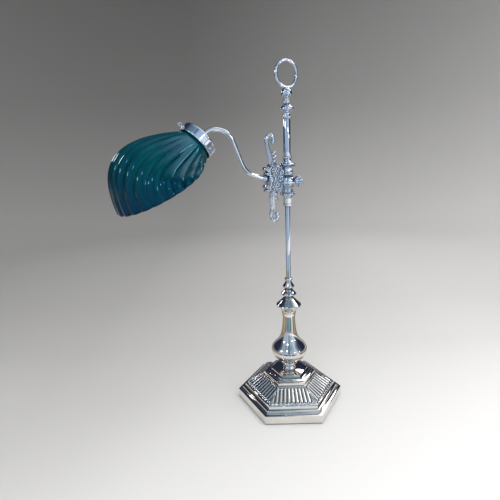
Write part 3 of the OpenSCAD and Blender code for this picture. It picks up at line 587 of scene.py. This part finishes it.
def make_crest(name, node_name, foot, hook, way):
    """A scroll that rises from its foot to a hook with a ball, with a leaf on the sleeve's side. way is 1 up and -1 down."""
    s = Shape()
    fx, fz = foot
    hx, hz = hook
    rise = abs(hz - fz)

    def at(x, part, y=0.0):
        return (x, y, fz + way * rise * part)
    path = [at(fx - 0.6, -0.06), at(fx, 0.04), at(fx + 1.5, 0.25), at((fx + hx) / 2 + 3.0, 0.46), at(hx + 4.4, 0.68), at(hx + 6.1, 0.86)]
    path += [(p[0], 0, hz + way * (p[2] - hz)) for p in spiral(hx, hz, 6.6, 6.4, 0, 178, 7)]
    path += [(p[0], 0, hz + way * (p[2] - hz)) for p in spiral(hx - 0.4, hz - 0.6, 5.9, 5.0, 196, 232, 2)]
    curve = smooth_path(path, 6)
    n = len(curve)
    radii = []
    for i in range(n):
        t = i / (n - 1)
        radii.append(5.2 - 2.0 * min(1, t / 0.42) + 0.1 * max(0, (t - 0.42) / 0.58))
    add_scroll(s, curve, radii, [0.74 + 0.2 * i / n for i in range(n)], ((hx - 5.0, 0, hz - way * 3.6), 4.0, 0.95), 24)
    # a raised spine along both faces
    for side in (-1, 1):
        for off, size in ((-0.5, 0.62), (0.12, 0.9), (0.62, 0.55)):
            ridge = [(p.x + off * radii[i], side * radii[i] * 0.80 * (1 - 0.22 * abs(off)), p.z) for i, p in enumerate(curve[1:34], 1)]
            s.grid(tube(ridge, taper(len(ridge), size * 1.3, size, 0.35), 8), place=ARM)
    # acanthus leaf: three lobes that spring from the stem towards the sleeve
    for reach, part, end, width in ((11.5, 0.27, 0.36, 3.3), (10.0, 0.12, 0.14, 3.6), (7.0, 0.42, 0.52, 2.5)):
        leaf = smooth_path([at(fx + 1.6, part - 0.04), at(fx - reach * 0.35, part + 0.02), at(fx - reach * 0.75, end - 0.04), at(fx - reach, end + 0.03)], 6)
        m = len(leaf)
        s.grid(tube(leaf, [width * math.sin(math.pi * (0.18 + 0.80 * i / (m - 1))) * 0.8 + 0.25 for i in range(m)], 12, 1.25), place=ARM)
    # collar of beads where it stands on the web
    for i in range(-2, 3):
        ball(s, at(fx - 4 + 2 * i * 1.6, 0.015), 1.5, ARM, 12)
    build(name, s, "head", "head", (node_name,), sharp=50)


def make_cord_bush():
    lo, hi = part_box("cord_bush")
    x, y0, y1 = (lo[0] + hi[0]) / 2 / MM, lo[1] / MM, hi[1] / MM
    outline = [(4.1, 0), (4.4, 0.25), (4.4, 1.2), (4.1, 1.5), (3.8, 1.6), (3.7, y1 - y0 - 0.7), (3.2, y1 - y0)]
    place = shift(x, y0, (lo[2] + hi[2]) / 2 / MM) @ spin(-90, "X")
    build("flex_bush", lathe(Shape(), outline, place, 48, bore=2.5), "brown", "head", ("cord_bush",))


ARM_RISE = 17


def arm_path():
    def run(p, slope, length):
        return (p[0] + length * math.cos(math.radians(slope)), p[1] + length * math.sin(math.radians(slope)))
    first, climb, bend_one, bend_two = 47.7, 34.7, 34, 31
    steep, droop, last = 68, 42, 13.2
    start = (20, 1.5)
    out = [run(start, ARM_RISE, first * i / 10) for i in range(10)]
    c = run(run(start, ARM_RISE, first), ARM_RISE + 90, bend_one)
    out += [run(c, ARM_RISE - 90 + (steep - ARM_RISE) * i / 24, bend_one) for i in range(25)]
    q = out[-1]
    out += [run(q, steep, climb * i / 6) for i in range(1, 6)]
    c = run(run(q, steep, climb), steep - 90, bend_two)
    out += [run(c, steep + 90 - (steep + droop) * i / 40, bend_two) for i in range(41)]
    q = out[-1]
    out += [run(q, -droop, last * i / 5) for i in range(1, 6)]
    return [(x, 0, z) for x, z in out]


def make_arm():
    build("swan_neck", Shape().grid(tube(arm_path(), 3.5, 36), place=ARM), "head", "head", ("arm_tube",))
    path = arm_path()
    slope = math.radians(ARM_RISE)
    start = (41 - path[0][0]) / math.cos(slope) + 5 * math.tan(slope) + 0.1
    place = ARM @ shift(path[0][0], 0, path[0][2]) @ spin(90 - ARM_RISE, "Y") @ shift(0, 0, start)
    outline = [(4.7, 0), (5.0, 0.3), (5.0, 1)] + bead(5, 5.75, 1, 3.4, 10) + [(4.8, 3.8), (4.6, 4.3), (4.5, 6.4), (4.1, 6.9)]
    build("ferrule", lathe(Shape(), outline, place, 64, bore=3.52), "head", "head", ("arm_ferrule",))


def make_knob():
    x0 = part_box("thumb_screw")[0][0] / MM
    x1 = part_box("thumb_screw")[1][0] / MM
    tip = x1
    face = x1 - 17
    outline = [(2.4, x0), (2.4, face - 0.2), (4.8, face), (5.2, face + 0.5)] + blend(5.2, face + 1, 6.2, face + 2.6, 5) + \
        blend(6.2, face + 2.8, 10.4, face + 7.6, 14) + blend(10.4, face + 8.8, 4.7, tip - 3.4, 16) + bead(3.8, 4.6, tip - 3.0, tip - 0.7, 8) + [(2.6, tip - 0.15), (0.4, tip)]

    def flute(r, z, a):
        if not face + 2.6 < z < tip - 3.1:
            return 0.0
        depth = min(1, (z - face - 2.6) / 2, (tip - 3.1 - z) / 2)
        return -(1 - abs(math.cos(5 * a)) ** 0.7) * 0.17 * r * depth
    place = HEAD @ spin(90, "Y")
    s = lathe(Shape(), outline, place, 160, wobble=flute)
    build("fluted_knob", s, "head", "clamp_knob", ("thumb_screw",), sharp=40)


def make_upper():
    turned_node("upper_tube", [(5.75, 0), (5.9, 0.3), (5.9, 81.2), (5.75, 81.5)], "head", "head", 4.9, 64)
    turned_node("tube_collar", [(4.85, 0), (4.85, 8), (5.9, 8)] + bead(6.4, 7.8, 9, 12.5, 12) + [(6.2, 13.1), (6.0, 14.5)], "head", "head", 2.55, 64)
    turned_node("finial_knop", [(6, 0), (6.1, 2.8)] + blend(6.4, 3.3, 7.9, 6, 6) + bead(8.4, 11.6, 6.2, 13, 20) + blend(8, 13.4, 4.3, 17, 8) +
                bead(4.6, 6.2, 17.6, 22, 12) + [(4.5, 22.6), (4.5, 23.4), (5.7, 26.5)], "head", "head", 2.55, 72)
    lo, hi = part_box("finial_ball")
    r = hi[0] / MM
    z0, z1 = lo[2] / MM, hi[2] / MM
    outline = [(5.7, z0)] + [(r * math.cos(math.radians(a)), z1 - r + r * math.sin(math.radians(a))) for a in range(-50, 90, 4)] + [(0.3, z1)]
    build("finial_sphere", lathe(Shape(), outline, sides=72), "head", "head", ("finial_ball",))
    lo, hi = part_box("carry_ring")
    wire = hi[1] / MM
    big = hi[0] / MM - wire
    cz = hi[2] / MM - wire - big
    rows = [[((big + wire * math.cos(TAU * k / 28)) * math.cos(TAU * i / 110), wire * math.sin(TAU * k / 28),
              cz + (big + wire * math.cos(TAU * k / 28)) * math.sin(TAU * i / 110)) for k in range(28)] for i in range(110)]
    build("lifting_ring", Shape().grid(rows, ring=True), "head", "head", ("carry_ring",))


# ---------------------------------------------------------------- gallery, holder, bulb
SHADE_AT = Vector(JOINTS["shade_turn"]["pos_m"]) / MM
SHADE_WAY = Vector(JOINTS["shade_turn"]["axis"]).normalized()
CROWN_WAY = Vector((0, 1, 0)).cross(SHADE_WAY)
FITTER = (Matrix((CROWN_WAY, (0, 1, 0), SHADE_WAY)).transposed()).to_4x4()
FITTER = Matrix.Translation(SHADE_AT) @ FITTER


def make_gallery():
    out = 28.8
    outline = [(3.65, -15), (6.2, -15), (27.0, -15), (27.9, -14.8), (28.5, -14.2), (out, -13.4), (out, -12.6), (28.5, -12.2), (28.5, -3.2),
               (out, -2.8), (out, -1.9)] + bead(28.9, 29.6, -1.7, -0.1, 8) + \
        [(28.0, 0), (27.6, -0.2), (27.6, -9.9), (24.4, -10.0), (24.3, -13.6), (3.65, -13.8)]
    s = Shape()
    s.grid(turn(outline, 128), ring=True, place=FITTER)
    for k in range(3):
        place = FITTER @ spin(120 * k, "Z") @ shift(0, 0, -4) @ spin(90, "Y")
        lathe(s, [(3.3, 28.2), (3.2, 29.4), (2.7, 30.2), (2.2, 30.6)], place, 32, bore=1.6)
    build("shade_gallery", s, "head", "head", ("gallery",))
    for k in range(3):
        s = Shape()
        place = FITTER @ spin(-120 * k, "Z") @ shift(0, 0, -4) @ spin(90, "Y")
        lathe(s, [(0.9, 25.8), (1.4, 26.4), (1.4, 30.7), (1.9, 30.9), (2.1, 31.2), (1.8, 31.6), (1.1, 31.8), (1.0, 32.4)], place, 28)
        mid = 34.2
        rows = [[((2.2 + 0.8 * math.cos(TAU * j / 12)) * math.cos(TAU * i / 36), 0.8 * math.sin(TAU * j / 12),
                  mid + (2.2 + 0.8 * math.cos(TAU * j / 12)) * math.sin(TAU * i / 36)) for j in range(12)] for i in range(36)]
        s.grid(rows, ring=True, place=place)
        build("ring_screw_%d" % (k + 1), s, "head", "shade_screw_%d" % (k + 1), ("gallery_screw_%d" % (k + 1),))


# ---------------------------------------------------------------- glass shade
RIBS = 24


def smooth(x):
    return x * x * (3 - 2 * x)


def rib_point(a, u, inset):
    """A point of the shell: a is the angle round the neck, u runs from the neck to the rim."""
    ca, sa = math.cos(a), math.sin(a)
    crown = (1 + ca) / 2
    out = Vector((ca, sa, 0))
    ahead = Vector((0, 0, 1))
    flare = math.radians(32 + 8 * ca)
    lean = math.radians(15)
    rim_axis = Vector((math.sin(lean), 0, math.cos(lean)))
    rim_down = Vector((-math.cos(lean), 0, math.sin(lean)))
    start = out * (25.5 - inset)
    start_way = ahead * math.cos(flare) + out * math.sin(flare)
    rim_out = rim_axis * ca + Vector((0, sa, 0))
    end = Vector((-8, 0, 85)) + rim_axis * ((68 - inset) * ca) + Vector((0, (80 - inset) * sa, 0))
    lean_in = math.radians(2 + 7 * ca)
    side_way = rim_down * math.cos(lean_in) + rim_out * math.sin(lean_in)
    back_way = ahead * math.cos(math.radians(12)) + out * math.sin(math.radians(12))
    k = smooth(min(1, crown * 2))
    end_way = (side_way * k + back_way * (1 - k)).normalized()
    p1 = start + start_way * (8 + (93 - inset) * crown)
    p2 = end - end_way * (7 + (65 - inset) * crown ** 1.3)
    v = 1 - u
    return start * v ** 3 + p1 * (3 * v * v * u) + p2 * (3 * v * u * u) + end * u ** 3


def rib_depth(a, u):
    phase = abs(math.sin(RIBS * a / 2))
    lobe = phase ** 0.75
    grow = smooth(min(1, max(0, (u - 0.01) / 0.16)))
    full = 1.0 + 1.5 * smooth(min(1, u / 0.55))
    return (1 - lobe) * full * grow


def make_shade():
    columns, rows = RIBS * 12, 64
    section = [("neck", -9.7, 0.6), ("neck", -9.2, 0.1)] + [("neck", z, 0.0) for z in (-6, -4, -2, -0.8)]
    section += [("rib", j / rows * 0.985, 0.0) for j in range(rows + 1)]
    section += [("rib", 0.994, 0.25), ("rib", 0.999, 0.8), ("rib", 1.0, 1.5)]
    outer = len(section)
    section += [("rib", 0.999, 2.2), ("rib", 0.994, 2.75)]
    section += [("rib", (rows - j) / rows * 0.985, 3.0) for j in range(rows + 1)]
    section += [("neck", z, 3.0) for z in (-0.8, -2, -4, -6)] + [("neck", -9.2, 2.9), ("neck", -9.7, 2.4)]
    s = Shape()
    grid = []
    for kind, where, inset in section:
        row = []
        for i in range(columns):
            a = TAU * i / columns
            if kind == "neck":
                r = 25.5 - inset
                row.append((r * math.cos(a), r * math.sin(a), where))
            else:
                share = 1.0 if inset < 1.6 else 0.55
                row.append(tuple(rib_point(a, where, inset + share * rib_depth(a, where))))
        grid.append(row)
    s.grid(grid, ring=True, place=FITTER)
    inner_from = (outer) * columns
    for i in range(len(s.kinds)):
        s.kinds[i] = 1 if i >= inner_from else 0
    build("ribbed_shade", s, ("teal", "opal"), "shade", ("glass_shade",), sharp=60)


def make_bulb():
    cap_top = -15 + 1.2 + 4 + 26 + 3.5 + 2
    length = 40.0
    outer = [(10.2, cap_top - 5)] + blend(10.2, cap_top + 1, 14, cap_top + length * 0.45, 14) + \
        [(14 * math.cos(math.radians(a)), cap_top + length - 14 + 14 * math.sin(math.radians(a))) for a in range(6, 90, 6)] + [(0.2, cap_top + length)]
    inner = [(max(r - 0.8, 0.1), z - (0.8 if z > cap_top + 30 else 0)) for r, z in reversed(outer)]
    s = Shape()
    s.grid(turn(outer + inner, 72), ring=True, place=FITTER)
    build("bulb_envelope", s, "bulb", "bulb", ("bulb_glass",))


make_sleeve()
make_web()
make_rosettes()
make_escutcheon()
make_crest("upper_crest", "upper_scroll", (31.5, 31), (33.5, 71), 1)
make_crest("lower_crest", "lower_scroll", (30, -12), (27, -56), -1)
make_cord_bush()
make_arm()
make_knob()
make_upper()
make_gallery()
make_shade()
make_bulb()

# ---------------------------------------------------------------- CAD nodes that stay
KEPT = {
    "base_weight": "iron", "base_plate": "steel", "base_pad": "felt", "plate_screws": "steel", "tie_rod": "steel", "tie_washer": "steel",
    "tie_nut": "steel", "slide_bush": "head", "arm_grub_screw": "steel", "clamp_shoe": "brass", "finial_stud": "steel", "gallery_nut": "brass",
    "holder_barrel": "brass", "holder_ring": "brown", "holder_insulator": "brown", "contact_plungers": "brass", "bulb_cap": "brass",
    "bulb_filament": "wire",
}
for name, key in KEPT.items():
    data = frame["nodes"][name].data
    if not data.materials:
        data.materials.append(MAT[key])
    for i in range(len(data.materials)):
        data.materials[i] = MAT[key]


# ---------------------------------------------------------------- studio
FRONT = Vector((-0.482, -0.876, 0))       # level, from the lamp towards the viewer
RIGHT = Vector((0.876, -0.482, 0))


def dot(tree, source, way):
    n = node(tree, "ShaderNodeVectorMath", {1: tuple(way)}, operation="DOT_PRODUCT")
    tree.links.new(source, n.inputs[0])
    return n.outputs["Value"]


def maths(tree, kind, a, b=0.0):
    n = node(tree, "ShaderNodeMath", operation=kind)
    for value, socket in ((a, n.inputs[0]), (b, n.inputs[1])):
        if isinstance(value, bpy.types.NodeSocket):
            tree.links.new(value, socket)
        else:
            socket.default_value = value
    return n.outputs[0]


def stage_mesh(name, rows, surface, card):
    """A surface of the studio. A card is seen only in reflections."""
    s = Shape().grid(rows, caps=False)
    mesh = bpy.data.meshes.new(name)
    mesh.from_pydata(s.verts, [], s.faces)
    mesh.shade_smooth()
    mesh.materials.append(surface.mat)
    obj = bpy.data.objects.new(name, mesh)
    SCENE.collection.objects.link(obj)
    if card:
        obj.visible_camera = obj.visible_diffuse = obj.visible_shadow = obj.visible_transmission = False
        surface.mat.cycles.emission_sampling = "NONE"


def ring_of(r, z, sides=96):
    return [(r * math.cos(TAU * i / sides), r * math.sin(TAU * i / sides), z) for i in range(sides)]


def make_backdrop():
    """A floor that turns up into a round wall, so that every view has the same backdrop."""
    profile = [(0.02, 0)] + [(0.25 * i, 0) for i in range(1, 8)] + \
        [(1.75 + 0.9 * math.sin(math.radians(a)), 0.9 - 0.9 * math.cos(math.radians(a))) for a in range(5, 91, 5)] + [(2.66, 1.3), (2.66, 2.1)]
    paper = Surface("studio_paper")
    t = paper.tree
    split = node(t, "ShaderNodeSeparateXYZ")
    t.links.new(paper.where, split.inputs[0])
    away = maths(t, "SUBTRACT", split.outputs["Z"], dot(t, paper.where, FRONT))
    # painted light: the paper's colour falls off with distance and height and grows lighter to the right, standing in
    # for how the studio light falls
    tone = ramp(t, span(t, away, 0, 1, -0.5, 4.5), [((at + 0.5) / 5, (v, v * 0.998, v * 0.998)) for at, v in PAPER_AWAY_FALLOFF])
    side = ramp(t, span(t, dot(t, paper.where, RIGHT), 0, 1, -2.4, 2.4), [((at + 2.4) / 4.8, (v, v, v)) for at, v in PAPER_SIDE_LIGHT])
    paper.put(Base_Color=mix(t, 1.0, tone, side, "MULTIPLY"), Roughness=0.9, Specular_IOR_Level=0.1)
    stage_mesh("studio_floor", [list(reversed(ring_of(r, z))) for r, z in profile], paper, False)


# Painted light on the paper: its tone by distance behind the lamp plus height, darker far off and high up, and by
# distance to the right, lighter to the right
PAPER_AWAY_FALLOFF = [(-0.25, 0.84), (0.0, 0.71), (0.2, 0.60), (0.5, 0.545), (1.2, 0.54), (1.85, 0.48), (2.3, 0.415), (3.0, 0.325), (3.5, 0.255),
              (3.9, 0.21), (4.3, 0.165)]
PAPER_SIDE_LIGHT = [(-2.2, 0.62), (-0.5, 0.77), (0.0, 1.0), (0.5, 1.23), (2.2, 1.46)]
# What the metal sees low down: degrees from the viewer's side, with a colour. One band lies near the lamp, one far off.
NEAR = [(-180, (0.42, 0.40, 0.37)), (-125, (0.30, 0.27, 0.21)), (-98, (0.46, 0.34, 0.20)), (-70, (0.40, 0.30, 0.18)), (-56, (0.16, 0.15, 0.12)),
        (-44, (0.45, 0.56, 0.60)), (-30, (0.16, 0.34, 0.44)), (-21, (0.02, 0.03, 0.06)), (-12, (0.34, 0.60, 0.74)), (-3, (0.04, 0.08, 0.16)),
        (7, (0.50, 0.74, 0.86)), (17, (0.03, 0.05, 0.10)), (27, (0.30, 0.42, 0.48)), (42, (0.80, 0.82, 0.80)), (56, (0.95, 0.93, 0.88)),
        (66, (0.12, 0.10, 0.09)), (84, (0.46, 0.36, 0.22)), (112, (0.28, 0.24, 0.18)), (180, (0.42, 0.40, 0.37))]
FAR = [(-180, (0.50, 0.52, 0.55)), (-120, (0.40, 0.42, 0.46)), (-88, (0.12, 0.16, 0.24)), (-66, (0.46, 0.56, 0.68)), (-34, (0.36, 0.50, 0.68)),
       (-20, (0.55, 0.68, 0.82)), (-8, (0.08, 0.12, 0.20)), (2, (0.40, 0.52, 0.66)), (30, (0.50, 0.62, 0.74)), (46, (0.86, 0.90, 0.94)),
       (60, (0.30, 0.40, 0.50)), (82, (0.07, 0.09, 0.14)), (110, (0.42, 0.46, 0.50)), (180, (0.50, 0.52, 0.55))]
# What it sees above, by elevation in degrees: behind the lamp, and how much of the far band's colours in front
SKY = [(0, (0.30, 0.34, 0.40)), (8, (0.10, 0.12, 0.17)), (16, (0.02, 0.024, 0.05)), (58, (0.03, 0.04, 0.07)), (72, (0.15, 0.25, 0.33)),
       (82, (0.42, 0.52, 0.58)), (90, (0.50, 0.58, 0.62))]
FRONT_SKY = [(0, (1.0, 1.0, 1.0)), (30, (1.0, 1.0, 1.0)), (50, (0.85, 0.94, 1.0)), (66, (0.42, 0.54, 0.62)), (80, (0.24, 0.33, 0.40)),
             (90, (0.24, 0.33, 0.40))]
# Bright windows, the last one a large soft sheet: degrees from the viewer's side, elevation, half size, strength
WINDOWS = [(-62, 34, 4, 12), (-24, 50, 3, 10), (30, 30, 3, 10), (64, 22, 2.5, 12), (100, 46, 5, 10), (-128, 30, 5, 9), (158, 42, 6, 7),
           (118, 62, 26, 1.7)]


def make_room():
    """Cards that only reflections see: a ring over the far floor and a dome over everything."""
    for name, colours, inner, outer in (("room_near", NEAR, 0.22, 0.95), ("room_far", FAR, 0.95, 2.25)):
        ring = Surface(name)
        t = ring.tree
        bearing = maths(t, "ARCTAN2", dot(t, ring.where, RIGHT), dot(t, ring.where, FRONT))
        hue = ramp(t, span(t, bearing, 0, 1, -math.pi, math.pi), [((a + 180) / 360, c) for a, c in colours])
        cloud = span(t, ring.noise(2.6, 3), 0.65, 1.2, 0.3, 0.7)
        ring.put(Base_Color=(0, 0, 0, 1), Roughness=1.0, Specular_IOR_Level=0.0, Emission_Color=hue, Emission_Strength=cloud)
        stage_mesh(name, [ring_of(inner, 0.002), ring_of((inner + outer) / 2, 0.002), ring_of(outer, 0.002)], ring, True)
    dome = Surface("room_dome")
    t = dome.tree
    way = node(t, "ShaderNodeVectorMath", operation="NORMALIZE")
    t.links.new(dome.where, way.inputs[0])
    rise = maths(t, "ARCSINE", dot(t, way.outputs[0], (0, 0, 1)))
    height = span(t, rise, 0, 1, 0, math.pi / 2)
    bearing = maths(t, "ARCTAN2", dot(t, way.outputs[0], RIGHT), dot(t, way.outputs[0], FRONT))
    hue = ramp(t, span(t, bearing, 0, 1, -math.pi, math.pi), [((a + 180) / 360, c) for a, c in FAR])
    ahead = mix(t, 1.0, hue, ramp(t, height, [(e / 90, c) for e, c in FRONT_SKY]), "MULTIPLY")
    share = maths(t, "MULTIPLY", span(t, dot(t, way.outputs[0], FRONT), 0, 1, -0.1, 0.3), span(t, rise, 1, 0, math.radians(58), math.radians(72)))
    sky = mix(t, share, ramp(t, height, [(e / 90, c) for e, c in SKY]), ahead)
    for bearing, up, size, power in WINDOWS:
        b, e = math.radians(bearing), math.radians(up)
        centre = (FRONT * math.cos(b) + RIGHT * math.sin(b)) * math.cos(e) + Vector((0, 0, math.sin(e)))
        edge = math.cos(math.radians(size))
        mask = span(t, dot(t, way.outputs[0], centre), 0, 1, edge, edge + (1 - edge) * (0.25 if size < 12 else 1.0))
        sky = mix(t, mask, sky, (power, power, power * 1.02))
    dome.put(Base_Color=(0, 0, 0, 1), Roughness=1.0, Specular_IOR_Level=0.0, Emission_Color=sky, Emission_Strength=1.0)
    stage_mesh("room_dome", [ring_of(2.3 * math.cos(math.radians(e)), 2.3 * math.sin(math.radians(e))) for e in range(0, 91, 6)], dome, True)


def area(name, at, size, power, colour, to=(-0.06, 0, 0.3)):
    lamp = bpy.data.lights.new(name, "AREA")
    lamp.shape = "RECTANGLE"
    lamp.size, lamp.size_y = size
    lamp.energy = power
    lamp.color = colour
    obj = bpy.data.objects.new(name, lamp)
    SCENE.collection.objects.link(obj)
    obj.location = at
    obj.rotation_euler = (Vector(to) - Vector(at)).to_track_quat("-Z", "Y").to_euler()
    obj.visible_glossy = False


def make_studio():
    make_backdrop()
    make_room()
    area("key_box", (0.35, -0.5, 1.9), (1.2, 0.9), 12, (1.0, 0.99, 0.97))
    area("fill_box", (-1.2, -1.3, 1.2), (0.9, 0.9), 8, (0.95, 0.98, 1.0))
    world = bpy.data.worlds.new("studio")
    SCENE.world = world
    world.use_nodes = True
    back = world.node_tree.nodes["Background"]
    back.inputs["Color"].default_value = (1.0, 0.99, 0.98, 1)
    back.inputs["Strength"].default_value = 1.0


make_studio()
SCENE.view_settings.view_transform = "Standard"
